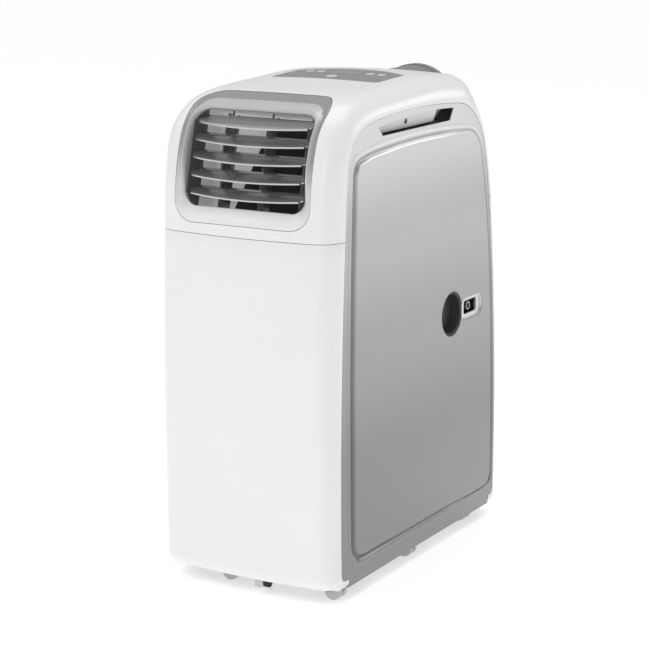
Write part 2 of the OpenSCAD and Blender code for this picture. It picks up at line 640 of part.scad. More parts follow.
module rod(a, b, r) let (d = b - a, l = norm(d))
    translate(a) rotate([0, acos(d[2] / l), atan2(d[1], d[0])]) cylinder(h = l, r = r, $fn = 24);
module pipe(points, r) {
    for (i = [0 : len(points) - 2]) rod(points[i], points[i + 1], r);
    for (i = [1 : len(points) - 2]) translate(points[i]) sphere(r = r, $fn = 24);
}
module refrigerant_pipes() color("darkorange") {
    pipe([[60, -105, 270], [60, -105, 296], [130, -105, 296], [130, 205, 296], [130, 205, 345],
        [130, 222, 345]], 4);
    pipe([[30, -105, 270], [30, -105, 306], [100, -105, 306], [100, 214, 306], [100, 214, 290],
        [100, 226, 290]], 4);
}

module castor_fork(c) color("lightgray") translate([c[0], c[1], 0]) {
    translate([0, 0, 31]) cylinder(h = floor_z - 39.2, r = 8, $fn = 48);
    translate([0, 0, 40]) cylinder(h = 23, r = stem_r, $fn = 48);
    difference() {
        union() {
            translate([castor_trail, 0, wheel_r]) rotate([90, 0, 0])
                cylinder(h = web_t, r = 8, center = true, $fn = 48);
            translate([-6, -web_t / 2, wheel_r + 4]) cube([castor_trail + 10, web_t, 16]);
        }
        translate([castor_trail, 0, wheel_r]) rotate([90, 0, 0])
            cylinder(h = 20, r = axle_r + run_fit, center = true, $fn = 48);
    }
    translate([0, 0, wheel_r + 15.5]) linear_extrude(2) difference() {
        translate([-8, -11]) square([castor_trail + 22, 22]);
        translate([castor_trail + 14, -12]) square([30, 24]);
    }
}
module castor_wheel(c) color("whitesmoke") translate([c[0] + castor_trail, c[1], wheel_r])
    rotate([90, 0, 0]) {
        for (s = [0, 1]) mirror([0, 0, s]) translate([0, 0, web_t / 2 + 0.4])
            cylinder(h = wheel_w, r = wheel_r, $fn = 96);
        cylinder(h = 2 * wheel_w, r = axle_r, center = true, $fn = 48);
    }
module castor_front_right() castor_fork(CASTOR_FR);
module castor_front_left() castor_fork(CASTOR_FL);
module castor_middle() castor_fork(CASTOR_M);
module castor_rear_right() castor_fork(CASTOR_RR);
module castor_rear_left() castor_fork(CASTOR_RL);
module castor_wheel_front_right() castor_wheel(CASTOR_FR);
module castor_wheel_front_left() castor_wheel(CASTOR_FL);
module castor_wheel_middle() castor_wheel(CASTOR_M);
module castor_wheel_rear_right() castor_wheel(CASTOR_RR);
module castor_wheel_rear_left() castor_wheel(CASTOR_RL);

// Screws that hold the rear cover to the pan and the deck
module case_screws() color("silver") screw_set(0);

base_pan();
front_panel();
top_cover();
rear_panel();
side_panel_right();
side_panel_left();
handle_right();
handle_left();
outlet_bezel();
louvre_frame();
outlet_duct();
louvre_1();
louvre_2();
louvre_3();
louvre_4();
louvre_5();
louvre_link();
vane_1();
vane_2();
vane_3();
vane_link();
swing_motor();
control_fascia();
display_lens();
button_power();
button_mode();
button_timer();
button_down();
button_up();
control_board();
exhaust_collar();
filter_upper();
filter_lower();
port_surround();
drain_spigot();
drain_plug();
cord_gland();
evaporator();
condenser();
compressor();
fan_housing_upper();
impeller_upper();
fan_motor_upper();
fan_housing_lower();
impeller_lower();
fan_motor_lower();
condensate_tray();
refrigerant_pipes();
castor_front_right();
castor_front_left();
castor_middle();
castor_rear_right();
castor_rear_left();
castor_wheel_front_right();
castor_wheel_front_left();
castor_wheel_middle();
castor_wheel_rear_right();
castor_wheel_rear_left();
case_screws();
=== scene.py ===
"""Looks of the portable air conditioner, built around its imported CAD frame.

Lengths are in millimetres until a mesh is made. X runs across the body, Y from front to rear, Z up.
"""
import math

import bmesh
import bpy
import numpy as np
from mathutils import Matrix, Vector
from mathutils.bvhtree import BVHTree


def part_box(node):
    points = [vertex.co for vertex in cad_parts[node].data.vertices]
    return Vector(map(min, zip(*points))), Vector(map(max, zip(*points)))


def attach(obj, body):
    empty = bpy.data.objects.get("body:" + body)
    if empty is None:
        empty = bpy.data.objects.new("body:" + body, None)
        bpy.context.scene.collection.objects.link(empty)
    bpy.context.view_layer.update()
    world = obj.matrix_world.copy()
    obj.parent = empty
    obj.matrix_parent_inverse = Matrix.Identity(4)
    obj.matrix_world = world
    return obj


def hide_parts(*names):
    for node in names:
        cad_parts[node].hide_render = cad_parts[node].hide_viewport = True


MM = 0.001
ROOT = "cabinet"
SMOOTH_ANGLE = 35.0

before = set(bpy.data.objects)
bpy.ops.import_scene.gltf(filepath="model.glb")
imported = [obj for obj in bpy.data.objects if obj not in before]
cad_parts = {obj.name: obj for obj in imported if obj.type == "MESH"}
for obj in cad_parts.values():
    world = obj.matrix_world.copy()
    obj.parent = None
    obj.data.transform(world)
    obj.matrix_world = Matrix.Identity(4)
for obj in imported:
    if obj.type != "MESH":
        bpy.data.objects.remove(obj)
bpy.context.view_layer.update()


def node_box(name):
    """Lowest and highest corner of a CAD node."""
    return tuple(np.array(point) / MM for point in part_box(name))


# ---- Driving sizes ----
HALF_W = node_box("side_panel_right")[1][0]
BODY_LOW = node_box("side_panel_right")[0][2]
SEAM_Z = (node_box("front_panel")[1][2] + node_box("top_cover")[0][2]) / 2
SEAM_GAP = 0.8
WALL = 3.0
GAP = 0.7

# Outlines in the side view are runs of tangent arcs, each (radius, degrees turned), from the bottom of the
# front over the top to the bottom of the rear. A run starts at (y, z, heading from straight up).
FRONT_LEAN = -3.4
SIDE_ARCS = ((5500, 5.94), (330, 16.1), (97, 56.3), (300, 8.3),
             (1480, 12.26), (45, 45.6), (360, 29.7), (2350, 9.2))
PANEL_FROM = (-247, 47, -1.6)
PANEL_ARCS = ((5550, 6.2), (100, 6.4), (60.6, 59), (181, 15.1),
              (1500, 10.4), (107.3, 66.5), (628, 10.1), (3050, 8.9))
CHANNEL_FROM = (-213.4, 84, -2)
CHANNEL_ARCS = ((7050, 4.5), (60, 3), (25, 70.8), (273, 9),
                (1843, 9.8), (53.4, 69.3), (1237, 10.6), (3600, 5.1))
CHANNEL_Z = 54
CHANNEL_REAR_R = 22
# The top dips slightly ahead of its middle
SIDE_TOP, TOP_DIP, TOP_DIP_Y, TOP_DIP_SPREAD = 690, 4.5, -50, 95
# The white feet that wrap under a side panel's lower corners
FOOT_TOP = 34.5
FOOT_FRONT = -225
FOOT_REAR = 257
FOOT_R = 12
# Rays towards a side panel's edge start on this upright stretch of the middle line
SPINE = (110, 600)

# The outlet has its own plane, leaning back: x across, v up along it, depth into the body
OUTLET_AT = np.array([0, -256.6, 660])
OUTLET_LEAN = math.radians(14)
LEAN_COS, LEAN_SIN = math.cos(OUTLET_LEAN), math.sin(OUTLET_LEAN)
OPENING = (-102.5, 102.5, -74, 70, 22)
RING = (-115, 115, -99, 104, 34)
# The liner is dark on its side walls, outside this x and down to this depth behind the opening
PIVOT_X = 101.5
PIVOT_DEPTH = 40
# Corners (x, v) of a black plate at the back of the duct, painted shade where the blower's throat lies dark,
# slanted along the blower's scroll
THROAT = ((-36, 62), (98, 62), (98, -68), (-82, -68))
THROAT_DEPTH = (110, 113)

# Carrying slot: an arch above a straight floor with round corners, (y, z)
SLOT_Y = (-140, 106)
SLOT_ARCH_MIDDLE, SLOT_ARCH_HALF, SLOT_ARCH_BASE, SLOT_ARCH_RISE = 8, 150, 702, 8.2
SLOT_CORNER_REAR, SLOT_CORNER_FRONT, SLOT_CORNER_R = (92, 692), (-124, 692), 4
SLOT_FLOOR = 689.3
SLOT_POINTS = 25
SLOT_SCREW = (-45, 701.8, 2.0, 4.2)

# Round recess (y, z, radius), and the pocket beside it with the window at its bottom (y0, y1, z0, z1, radius)
PORT = (110, 376.5, 36)
POCKET = (144, 220, 357, 394, 15)
WINDOW = (158, 203, 366, 388, 4)

FASCIA_X = 94
FASCIA_Y = (-42, 47)
FASCIA_BOW = 36
FASCIA_CORNER_R = 10
LENS = (-28, 28, 18, 44, 3)
BUTTONS = ("button_power", "button_mode", "button_timer", "button_down", "button_up")
BUTTON_RIM = 1.5
COLLAR_R = 75
COLLAR_Z = 680
GLAND_HOLE_R = 10.4


# ---- Arc runs and outlines ----
# Longest piece of an arc, and its largest turn in degrees
ARC_STEP, ARC_TURN = 5.0, 3


def arc_run(start, arcs):
    """Points (y, z, heading) along tangent arcs."""
    y, z, h = start
    points = [(y, z, h)]
    for radius, turn in arcs:
        count = max(3, math.ceil(radius * math.radians(turn) / ARC_STEP), math.ceil(turn / ARC_TURN))
        a = math.radians(h)
        for k in range(1, count + 1):
            heading = h + turn * k / count
            b = math.radians(heading)
            points.append((y + radius * (math.cos(a) - math.cos(b)), z + radius * (math.sin(b) - math.sin(a)),
                           heading))
        y, z, h = points[-1]
    return np.array(points)


def corner(centre, radius, a0, a1, count=8):
    angles = np.radians(np.linspace(a0, a1, count))
    return [(centre[0] + radius * math.cos(a), centre[1] + radius * math.sin(a)) for a in angles]


def rounded(x0, x1, y0, y1, r, per_corner=10, per_side=14):
    """Closed rounded rectangle, anticlockwise from the lower end of its upper right corner."""
    centres = ((x1 - r, y1 - r), (x0 + r, y1 - r), (x0 + r, y0 + r), (x1 - r, y0 + r))
    arcs = [corner(centre, r, 90 * k, 90 * k + 90, per_corner) for k, centre in enumerate(centres)]
    path = []
    for k, arc in enumerate(arcs):
        path += arc
        end, following = arc[-1], arcs[(k + 1) % 4][0]
        for i in range(1, per_side):
            f = i / per_side
            path.append((end[0] + (following[0] - end[0]) * f, end[1] + (following[1] - end[1]) * f))
    return np.array(path)


def side_profile():
    """Outline of the body in the side view, centred on y = 0."""
    run = arc_run((0, BODY_LOW, FRONT_LEAN), SIDE_ARCS)
    front = -SIDE_ARCS[0][0] * (1 - math.cos(math.radians(FRONT_LEAN)))
    run[:, 0] -= (front + run[-1, 0]) / 2
    on_top = run[:, 1] > SIDE_TOP
    run[:, 1] -= on_top * TOP_DIP * np.exp(-(((run[:, 0] - TOP_DIP_Y) / TOP_DIP_SPREAD) ** 2))
    return run


BODY_RUN = side_profile()
PANEL_RUN = arc_run(PANEL_FROM, PANEL_ARCS)
CHANNEL_RUN = arc_run(CHANNEL_FROM, CHANNEL_ARCS)


def panel_outline():
    """Edge of a side panel, with the notches at its lower corners where the white feet wrap under it."""
    run = [tuple(p[:2]) for p in PANEL_RUN]
    front, rear = run[0], run[-1]
    path = run + corner((rear[0] - FOOT_R, FOOT_TOP + FOOT_R), FOOT_R, 0, -90)
    path += [(FOOT_REAR, FOOT_TOP), (FOOT_REAR, BODY_LOW), (FOOT_FRONT, BODY_LOW), (FOOT_FRONT, FOOT_TOP)]
    path += corner((front[0] + FOOT_R, FOOT_TOP + FOOT_R), FOOT_R, -90, -180)
    return np.array(path)


def channel_outline():
    """Middle line of the pressed channel."""
    run = [tuple(p[:2]) for p in CHANNEL_RUN]
    front, rear = run[0], run[-1]
    front_r = front[1] - CHANNEL_Z
    path = [p for p in run[:-1] if p[0] < 0 or p[1] > CHANNEL_Z + CHANNEL_REAR_R]
    path += corner((rear[0] - CHANNEL_REAR_R, CHANNEL_Z + CHANNEL_REAR_R), CHANNEL_REAR_R, 0, -90)
    path += corner((front[0] + front_r, CHANNEL_Z + front_r), front_r, -90, -180)
    return np.array(path)


def slot_outline():
    """Carrying slot: its arch first, then its lower corners."""
    span = SLOT_Y[1] - SLOT_Y[0]
    ys = [SLOT_Y[0] + span * k / (SLOT_POINTS - 1) for k in range(SLOT_POINTS)]
    arch = [(y, SLOT_ARCH_BASE + SLOT_ARCH_RISE * (1 - ((y - SLOT_ARCH_MIDDLE) / SLOT_ARCH_HALF) ** 2))
            for y in ys]
    rear = corner(SLOT_CORNER_REAR, SLOT_CORNER_R, -10, -80, 5)
    front = corner(SLOT_CORNER_FRONT, SLOT_CORNER_R, -100, -170, 5)
    return np.array(arch + rear + front)


def fascia_outline(grow=0.0):
    """Control panel from above: straight in front, bowed towards the rear."""
    half, low, high = FASCIA_X + grow, FASCIA_Y[0] - grow, FASCIA_Y[1] + grow
    r = FASCIA_CORNER_R
    path = corner((-half + r, low + r), r, 180, 270, 7) + corner((half - r, low + r), r, 270, 360, 7)
    path += [(half * k / 16, high + FASCIA_BOW * (1 - (k / 16) ** 2)) for k in range(16, -17, -1)]
    return np.array(path)


def reach(path, origin, direction):
    """Distance from origin to a closed outline along direction."""
    a, b = path, np.roll(path, -1, axis=0)
    edge = b - a
    cross = direction[0] * edge[:, 1] - direction[1] * edge[:, 0]
    cross = np.where(np.abs(cross) < 1e-9, 1e-9, cross)
    to_a = a - origin
    t = (to_a[:, 0] * edge[:, 1] - to_a[:, 1] * edge[:, 0]) / cross
    u = (to_a[:, 0] * direction[1] - to_a[:, 1] * direction[0]) / cross
    hits = t[(t > 0) & (u >= -1e-6) & (u <= 1 + 1e-6)]
    return float(hits.max())


# ---- Meshes and objects ----
def soften(obj, angle=SMOOTH_ANGLE):
    obj.data.shade_smooth()
    obj.data.set_sharp_from_angle(angle=math.radians(angle))


def add_object(name, mesh):
    obj = bpy.data.objects.new(name, mesh)
    bpy.context.scene.collection.objects.link(obj)
    return obj


def build(name, points, faces, smooth_angle=SMOOTH_ANGLE):
    mesh = bpy.data.meshes.new(name)
    mesh.from_pydata([tuple(np.asarray(p, float) * MM) for p in points], [], [tuple(f) for f in faces])
    mesh.validate()
    mesh.update()
    obj = add_object(name, mesh)
    soften(obj, smooth_angle)
    return obj


def grid_faces(rows, cols, closed=False, first=0, flip=False):
    """Faces of a grid of points kept row by row; a closed grid joins its last column to its first."""
    faces = []
    for i in range(rows - 1):
        low, high = first + i * cols, first + (i + 1) * cols
        for j in range(cols if closed else cols - 1):
            k = (j + 1) % cols
            face = (low + j, low + k, high + k, high + j)
            faces.append(tuple(reversed(face)) if flip else face)
    return faces


def mend(obj, join=0.0, flat=0.0, outwards=True):
    """Joins points that meet, drops edges without length and turns the faces outwards."""
    bm = bmesh.new()
    bm.from_mesh(obj.data)
    if join:
        bmesh.ops.remove_doubles(bm, verts=bm.verts, dist=join * MM)
        bmesh.ops.dissolve_degenerate(bm, dist=flat * MM, edges=bm.edges)
    if outwards:
        bmesh.ops.recalc_face_normals(bm, faces=bm.faces)
    bm.to_mesh(obj.data)
    bm.free()


def apply_modifiers(obj, angle=SMOOTH_ANGLE):
    bpy.context.view_layer.update()
    graph = bpy.context.evaluated_depsgraph_get()
    mesh = bpy.data.meshes.new_from_object(obj.evaluated_get(graph))
    old = obj.data
    obj.modifiers.clear()
    obj.data = mesh
    mesh.name = obj.name
    bpy.data.meshes.remove(old)
    soften(obj, angle)


def add_bevel(obj, width, segments=2, angle=40.0):
    mod = obj.modifiers.new("edge", "BEVEL")
    mod.width = width * MM
    mod.segments = segments
    mod.limit_method = "ANGLE"
    mod.angle_limit = math.radians(angle)
    mod.use_clamp_overlap = True


def thicken(obj, thickness, edge=0.0, angle=SMOOTH_ANGLE):
    """Gives a surface a wall behind it, with rounded edges if asked."""
    mod = obj.modifiers.new("wall", "SOLIDIFY")
    mod.thickness = thickness * MM
    mod.offset = -1.0
    mod.use_even_offset = False
    if edge:
        add_bevel(obj, edge)
    apply_modifiers(obj, angle)


def round_edges(obj, width):
    add_bevel(obj, width)
    apply_modifiers(obj)


def cut(obj, cutters, angle=SMOOTH_ANGLE):
    """Cuts closed cutters from obj and removes them."""
    for cutter in cutters:
        mod = obj.modifiers.new("cut", "BOOLEAN")
        mod.operation = "DIFFERENCE"
        mod.solver = "EXACT"
        mod.object = cutter
    apply_modifiers(obj, angle)
    for cutter in cutters:
        mesh = cutter.data
        bpy.data.objects.remove(cutter)
        bpy.data.meshes.remove(mesh)


def even_normals(obj):
    mod = obj.modifiers.new("normals", "WEIGHTED_NORMAL")
    mod.keep_sharp = True
    mod.weight = 80


def finish_piece(obj, look, body=ROOT, stands_for=()):
    obj.data.materials.clear()
    obj.data.materials.append(look)
    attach(obj, body)
    if stands_for:
        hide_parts(*stands_for)


def prism(name, outline, place, depth0, depth1):
    """Closed prism on an outline of 2-D points: place(u, v, depth) gives a point in space."""
    n = len(outline)
    points = [place(u, v, depth) for depth in (depth0, depth1) for u, v in outline]
    faces = [tuple(range(n)), tuple(reversed(range(n, 2 * n)))]
    faces += [(i, n + i, n + (i + 1) % n, (i + 1) % n) for i in range(n)]
    obj = build(name, points, faces)
    mend(obj)
    return obj


def from_above(x, y, z):
    return (x, y, z)


def from_behind(x, z, y):
    return (x, y, z)


def from_side(side):
    def place(y, z, x):
        return (side * x, y, z)
    return place


def refined(node_name, name, width, segments=2):
    """A copy of a CAD node's surface with merged faces and rounded edges."""
    bm = bmesh.new()
    bm.from_mesh(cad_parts[node_name].data)
    bmesh.ops.remove_doubles(bm, verts=bm.verts, dist=0.02 * MM)
    bmesh.ops.dissolve_limit(bm, angle_limit=math.radians(1.0), verts=bm.verts, edges=bm.edges)
    mesh = bpy.data.meshes.new(name)
    bm.to_mesh(mesh)
    bm.free()
    obj = add_object(name, mesh)
    add_bevel(obj, width, segments, SMOOTH_ANGLE)
    apply_modifiers(obj, 40.0)
    return obj


# ---- Materials ----
def add_node(mat, kind, inputs=(), **settings):
    """Adds a shader node with its own settings, then with values on its input sockets."""
    node = mat.node_tree.nodes.new("ShaderNode" + kind)
    for key, value in settings.items():
        setattr(node, key, value)
    for socket, value in inputs:
        node.inputs[socket].default_value = value
    return node


def add_ramp(mat, stops, interpolation="LINEAR"):
    """Colour ramp through (position, colour) stops."""
    node = add_node(mat, "ValToRGB")
    node.color_ramp.interpolation = interpolation
    elements = node.color_ramp.elements
    while len(elements) < len(stops):
        elements.new(0.5)
    for element, (place, value) in zip(elements, stops):
        element.position = place
        element.color = (*value, 1)
    return node


def add_bump(mat, height, distance, strength=1.0):
    """Raises the surface of a material by a height output."""
    bump = add_node(mat, "Bump", (("Strength", strength), ("Distance", distance)))
    mat.node_tree.links.new(height, bump.inputs["Height"])
    mat.node_tree.links.new(bump.outputs["Normal"], mat.node_tree.nodes["Principled BSDF"].inputs["Normal"])


def add_side(mat):
    """Output that is the distance from the middle plane, in metres."""
    link = mat.node_tree.links.new
    parts = add_node(mat, "SeparateXYZ")
    link(mat.node_tree.nodes["Texture Coordinate"].outputs["Object"], parts.inputs["Vector"])
    side = add_node(mat, "Math", operation="ABSOLUTE")
    link(parts.outputs["X"], side.inputs[0])
    return side.outputs["Value"]


def glow(mat, strength):
    shader = mat.node_tree.nodes["Principled BSDF"]
    shader.inputs["Emission Color"].default_value = (1, 1, 1, 1)
    shader.inputs["Emission Strength"].default_value = strength


ROUGH_SPREAD = 0.05
GRAIN_DEPTH = 0.0002


def material(name, colour, rough, metallic=0.0, coat=0.0, spread=0.02, grain=0.0, grain_scale=900.0,
             ramp=None, transmission=0.0, specular=0.5):
    """Procedural surface: slow drift of colour and roughness, and fine grain.

    Where the colour is None, a ramp (lowest z, highest z, stops) gives it by height, painting light and shade
    into it, or the caller links it.
    """
    mat = bpy.data.materials.new(name)
    mat.use_nodes = True
    link = mat.node_tree.links.new
    shader = mat.node_tree.nodes["Principled BSDF"]
    for socket, value in (("Metallic", metallic), ("Coat Weight", coat), ("Coat Roughness", 0.12),
                          ("Transmission Weight", transmission), ("Specular IOR Level", specular)):
        shader.inputs[socket].default_value = value
    place = add_node(mat, "TexCoord").outputs["Object"]
    slow = add_node(mat, "TexNoise", (("Scale", 7.0), ("Detail", 4.0)))
    link(place, slow.inputs["Vector"])
    shade = add_ramp(mat, ((0.3, (1 - spread,) * 3), (0.7, (1, 1, 1))))
    link(slow.outputs["Fac"], shade.inputs["Fac"])
    tint = add_node(mat, "Mix", (("Factor", 1.0),), data_type="RGBA", blend_type="MULTIPLY")
    link(shade.outputs["Color"], tint.inputs["B"])
    if ramp:
        low_z, high_z, stops = ramp
        parts = add_node(mat, "SeparateXYZ")
        span = add_node(mat, "MapRange", (("From Min", low_z * MM), ("From Max", high_z * MM)))
        bands = add_ramp(mat, stops, "EASE")
        link(place, parts.inputs["Vector"])
        link(parts.outputs["Z"], span.inputs["Value"])
        link(span.outputs["Result"], bands.inputs["Fac"])
        link(bands.outputs["Color"], tint.inputs["A"])
    elif colour:
        tint.inputs["A"].default_value = (*colour, 1)
    link(tint.outputs["Result"], shader.inputs["Base Color"])
    dull = add_node(mat, "MapRange", (("To Min", max(0.02, rough - ROUGH_SPREAD)),
                                      ("To Max", rough + ROUGH_SPREAD)))
    link(slow.outputs["Fac"], dull.inputs["Value"])
    link(dull.outputs["Result"], shader.inputs["Roughness"])
    if grain:
        fine = add_node(mat, "TexNoise", (("Scale", grain_scale), ("Detail", 2.0)))
        link(place, fine.inputs["Vector"])
        add_bump(mat, fine.outputs["Fac"], GRAIN_DEPTH, grain)
    return mat


def fin_material():
    """Aluminium fins: a fine wave along X paints shade into the gaps between them and tilts the surface."""
    mat = material("coil_fin_stack", None, 0.4, metallic=0.8)
    link = mat.node_tree.links.new
    wave = add_node(mat, "TexWave", (("Scale", 120.0),), bands_direction="X")
    link(mat.node_tree.nodes["Texture Coordinate"].outputs["Object"], wave.inputs["Vector"])
    bands = add_ramp(mat, ((0.0, (0.03, 0.03, 0.03)), (1.0, (0.6, 0.62, 0.65))))
    link(wave.outputs["Fac"], bands.inputs["Fac"])
    link(bands.outputs["Color"], mat.node_tree.nodes["Principled BSDF"].inputs["Base Color"])
    add_bump(mat, wave.outputs["Fac"], 0.0008)
    return mat


def liner_material():
    """Light liner whose side walls are dark grey in front, where the pivots sit; it glows by its own colour,
    painted light inside the outlet.
    """
    mat = material("outlet_liner_plastic", None, 0.42, spread=0.03, grain=0.05)
    link = mat.node_tree.links.new
    shader = mat.node_tree.nodes["Principled BSDF"]
    inwards = (0, LEAN_COS, -LEAN_SIN)
    depth = add_node(mat, "VectorMath", ((1, inwards),), operation="DOT_PRODUCT")
    link(mat.node_tree.nodes["Texture Coordinate"].outputs["Object"], depth.inputs[0])
    limit = (PIVOT_DEPTH + float(OUTLET_AT @ np.array(inwards))) * MM
    near = add_node(mat, "Math", ((1, limit),), operation="LESS_THAN")
    link(depth.outputs["Value"], near.inputs[0])
    near_side = add_node(mat, "Math", operation="MULTIPLY")
    link(add_side(mat), near_side.inputs[0])
    link(near.outputs["Value"], near_side.inputs[1])
    bands = add_ramp(mat, ((0.0, (0.7, 0.7, 0.705)), (PIVOT_X * MM, (0.07, 0.07, 0.075))), "CONSTANT")
    link(near_side.outputs["Value"], bands.inputs["Fac"])
    link(bands.outputs["Color"], shader.inputs["Base Color"])
    # Painted light: the liner glows by its own colour.
    link(bands.outputs["Color"], shader.inputs["Emission Color"])
    shader.inputs["Emission Strength"].default_value = 0.16
    return mat


def paint_channel_shade(mat):
    """Paints shade into the pressed channel: darkens the colour where the surface lies below the panel's
    flat.
    """
    link = mat.node_tree.links.new
    base = mat.node_tree.nodes["Principled BSDF"].inputs["Base Color"]
    depth = add_node(mat, "MapRange", (("From Min", (HALF_W - 3.6) * MM), ("From Max", (HALF_W - 1.1) * MM),
                                       ("To Min", 0.5), ("To Max", 1.0)))
    link(add_side(mat), depth.inputs["Value"])
    darker = add_node(mat, "Mix", (("Factor", 1.0),), data_type="RGBA", blend_type="MULTIPLY")
    link(base.links[0].from_socket, darker.inputs["A"])
    link(depth.outputs["Result"], darker.inputs["B"])
    link(darker.outputs["Result"], base)


FINE_PAINT = {"grain": 0.03, "grain_scale": 2500.0}
# Heights over which the outlet surround's painted light and shade runs.
OUTLET_Z = (555, 750)

WHITE = material("white_shell_plastic", (0.82, 0.82, 0.825), 0.32, coat=0.25, spread=0.012, grain=0.02)
# Painted light and shade: the height ramp paints the side panels darker towards the bottom and lighter
# towards the top, as the light falls on them.
SILVER = material("silver_panel_paint", None, 0.34, metallic=0.75, coat=0.2, spread=0.03,
                  grain=0.05, grain_scale=2500.0,
                  ramp=(20, 740, ((0.0, (0.25, 0.246, 0.248)), (0.25, (0.226, 0.223, 0.228)),
                                  (0.5, (0.31, 0.306, 0.312)), (0.72, (0.425, 0.417, 0.423)),
                                  (0.95, (0.68, 0.665, 0.67)))))
# Painted shade in the pressed channel of the side panels.
paint_channel_shade(SILVER)
# Painted light and shade: the band and the lip are one silver paint, lit and shaded by height ramps, lighter
# low down and darker high up.
BAND = material("outlet_band_paint", None, 0.33, metallic=0.15, coat=0.3, **FINE_PAINT,
                ramp=(*OUTLET_Z, ((0.0, (0.84, 0.84, 0.845)), (0.3, (0.6, 0.6, 0.61)),
                                  (0.6, (0.36, 0.36, 0.37)), (1.0, (0.27, 0.27, 0.275)))))
LIP = material("outlet_lip_paint", None, 0.3, metallic=0.1, coat=0.4, **FINE_PAINT,
               ramp=(*OUTLET_Z, ((0.0, (0.8, 0.8, 0.805)), (0.3, (0.62, 0.62, 0.63)),
                                 (0.6, (0.48, 0.48, 0.49)), (1.0, (0.5, 0.5, 0.505)))))
# Painted shade: a darker copy of the surround's paint for its return into the duct, under the lip.
RETURN = material("outlet_return_shaded_paint", (0.36, 0.36, 0.365), 0.36, metallic=0.1, coat=0.3, spread=0.03,
                  **FINE_PAINT)
SATIN = material("satin_silver_paint", (0.58, 0.58, 0.59), 0.3, metallic=0.6, coat=0.3, spread=0.03,
                 grain=0.03)
LOUVRE = material("louvre_silver_paint", (0.5, 0.5, 0.51), 0.24, metallic=0.75, coat=0.3, spread=0.03,
                  grain=0.02)
DUCT = material("duct_light_plastic", (0.75, 0.75, 0.755), 0.45, spread=0.04, grain=0.05)
# Painted light: the duct glows a little, standing in for light that reaches inside the outlet.
glow(DUCT, 0.14)
LINER = liner_material()
DARK = material("dark_grey_plastic", (0.045, 0.045, 0.05), 0.42, spread=0.1, grain=0.15)
VANE = material("vane_dark_plastic", (0.16, 0.16, 0.165), 0.25, coat=0.4, spread=0.1)
GREY = material("mid_grey_plastic", (0.2, 0.19, 0.195), 0.42, spread=0.04, grain=0.1, coat=0.1)
FASCIA = material("fascia_grey_paint", (0.25, 0.235, 0.235), 0.36, metallic=0.25, spread=0.05, grain=0.06,
                  coat=0.2)
PALE = material("pale_moulded_plastic", (0.62, 0.62, 0.625), 0.4, spread=0.03, grain=0.05)
LENS_BLACK = material("display_dark_lens", (0.012, 0.012, 0.016), 0.1, coat=1.0, spread=0.1)
RUBBER = material("black_rubber", (0.015, 0.015, 0.015), 0.7, spread=0.2, grain=0.3)
BLACK = material("black_moulded_plastic", (0.008, 0.008, 0.009), 0.5, spread=0.2, grain=0.1)
FINS = fin_material()
CAN = material("black_enamel", (0.02, 0.02, 0.022), 0.3, coat=0.4, spread=0.1)
STEEL = material("motor_steel", (0.4, 0.41, 0.42), 0.4, metallic=0.9, spread=0.06, grain=0.05)
BOARD = material("circuit_green", (0.02, 0.16, 0.06), 0.4, spread=0.1, grain=0.1)
COPPER = material("copper_pipe", (0.72, 0.33, 0.18), 0.3, metallic=1.0, spread=0.12)
WHEEL = material("castor_milky_plastic", (0.66, 0.66, 0.67), 0.3, spread=0.04, transmission=0.25)
FORK = material("castor_grey_plastic", (0.3, 0.3, 0.305), 0.4, spread=0.05, grain=0.05)
PLATED = material("plated_steel", (0.6, 0.6, 0.6), 0.25, metallic=1.0, spread=0.05)

NODE_LOOKS = {
    "base_pan": PALE, "control_board": BOARD, "drain_spigot": STEEL, "cord_gland": RUBBER, "evaporator": FINS,
    "condenser": FINS, "compressor": CAN, "fan_housing_upper": BLACK, "fan_housing_lower": PALE,
    "impeller_upper": DARK, "impeller_lower": DARK, "fan_motor_upper": STEEL, "fan_motor_lower": STEEL,
    "condensate_tray": PALE, "refrigerant_pipes": COPPER, "case_screws": PLATED, "swing_motor": STEEL,
    "louvre_link": GREY, "vane_link": GREY, "outlet_duct": DUCT, "louvre_frame": LINER, "handle_right": DARK,
    "handle_left": DARK, "port_surround": DARK, "drain_plug": RUBBER,
}


def dress_nodes():
    """Gives the CAD nodes that stay in view their own materials."""
    for name, look in NODE_LOOKS.items():
        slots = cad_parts[name].data.materials
        slots.clear()
        slots.append(look)


# ---- The white skin ----
CORNER_STEPS = 9
FLAT_STEPS = 14
SIDE_ROUND = 10.0
FRONT_ROUND = 24.0
# Radius of the long edges and bow of the face between them, by heading of the side outline
EDGE_HEADINGS = (18, 60, 110, 171)
EDGE_RADII = (27, 36, 40, 21)
FACE_BOWS = (12, 9, 4, 1)
TOP_ORIGIN = np.array([0.0, SPINE[1]])
# The side panel's edge, run on downwards below the floor
open_panel_edge = np.array([(PANEL_RUN[0][0], -50)] + [tuple(p[:2]) for p in PANEL_RUN]
                           + [(PANEL_RUN[-1][0], -50)])


def foot_tuck(z, radius):
    """How far the rounded bottom edge draws the surface in at a height."""
    lift = min(radius, max(0.0, z - BODY_LOW))
    return radius - math.sqrt(radius**2 - (radius - lift) ** 2)


def foot_radius(heading, tilt):
    """Radius of the bottom edge: large across the front, small at the sides and the rear."""
    if heading >= 90:
        return SIDE_ROUND
    return SIDE_ROUND + (FRONT_ROUND - SIDE_ROUND) * math.cos(tilt) ** 0.15


